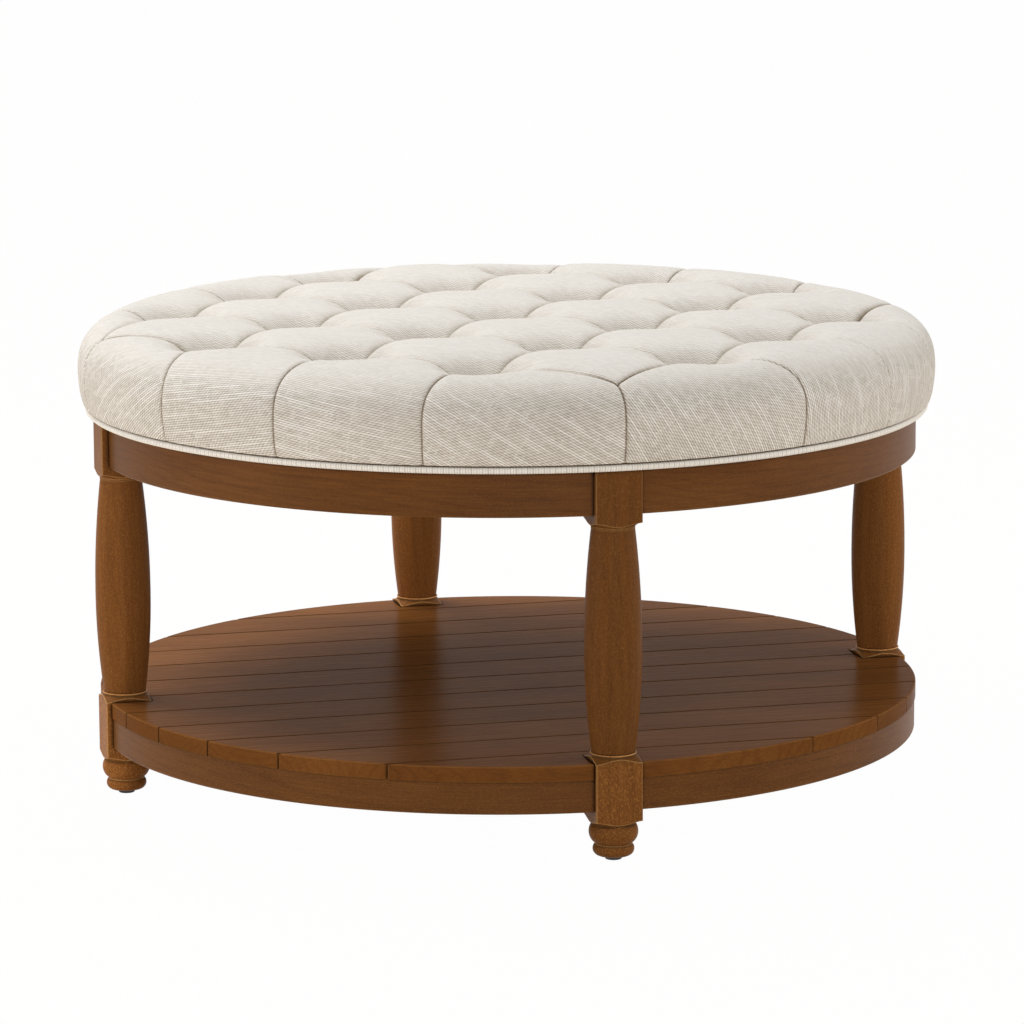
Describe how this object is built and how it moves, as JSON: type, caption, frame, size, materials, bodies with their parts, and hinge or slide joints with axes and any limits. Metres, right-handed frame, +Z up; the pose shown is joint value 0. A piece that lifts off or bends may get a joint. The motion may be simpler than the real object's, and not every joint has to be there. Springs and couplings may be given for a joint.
{
  "type": "ottoman coffee table",
  "caption": "Round ottoman coffee table: deep-tufted linen-look cushion with welt on a curved wooden apron, turned legs, and a round slatted shelf below.",
  "frame": {"origin": "on the floor, under the table's middle", "axes": "+Z up; the legs stand on the X and Y axes, the front leg on -Y; the shelf boards run along X"},
  "size_m": [0.8256, 0.8256, 0.4572],
  "materials": {
    "stained_wood": "chestnut stain, satin lacquer",
    "plain_wood": "planed, unstained",
    "plywood": "sawn plywood",
    "foam": "open-cell foam",
    "linen_weave": "beige slub weave",
    "twine": "waxed twine",
    "black_cloth": "non-woven dust cloth",
    "black_nylon": "moulded nylon",
    "zinc_steel": "zinc plated"
  },
  "bodies": {
    "root": {"leg_front": "stained_wood", "seat_brace_front": "plain_wood", "shelf_brace_front": "plain_wood", "leg_right": "stained_wood", "seat_brace_right": "plain_wood", "shelf_brace_right": "plain_wood", "leg_back": "stained_wood", "seat_brace_back": "plain_wood", "shelf_brace_back": "plain_wood", "leg_left": "stained_wood", "seat_brace_left": "plain_wood", "shelf_brace_left": "plain_wood", "apron_rail_front_right": "stained_wood", "shelf_rim_front_right": "stained_wood", "apron_rail_back_right": "stained_wood", "shelf_rim_back_right": "stained_wood", "apron_rail_back_left": "stained_wood", "shelf_rim_back_left": "stained_wood", "apron_rail_front_left": "stained_wood", "shelf_rim_front_left": "stained_wood", "shelf_board_01": "stained_wood", "shelf_board_02": "stained_wood", "shelf_board_03": "stained_wood", "shelf_board_04": "stained_wood", "shelf_board_05": "stained_wood", "shelf_board_06": "stained_wood", "shelf_board_07": "stained_wood", "shelf_board_08": "stained_wood", "shelf_board_09": "stained_wood", "shelf_board_10": "stained_wood", "shelf_board_11": "stained_wood", "shelf_board_12": "stained_wood", "shelf_batten_left": "plain_wood", "shelf_batten_right": "plain_wood", "seat_board": "plywood", "foam_pad": "foam", "cushion_cover": "linen_weave", "welt_cord": "linen_weave", "tuft_twines": "twine", "dust_cover": "black_cloth", "foot_glides": "black_nylon", "apron_dowels": "plain_wood", "rim_dowels": "plain_wood", "leg_bolts": "zinc_steel", "leg_washers": "zinc_steel", "leg_nuts": "zinc_steel", "seat_screws": "zinc_steel", "board_screws": "zinc_steel"}
  },
  "joints": []
}
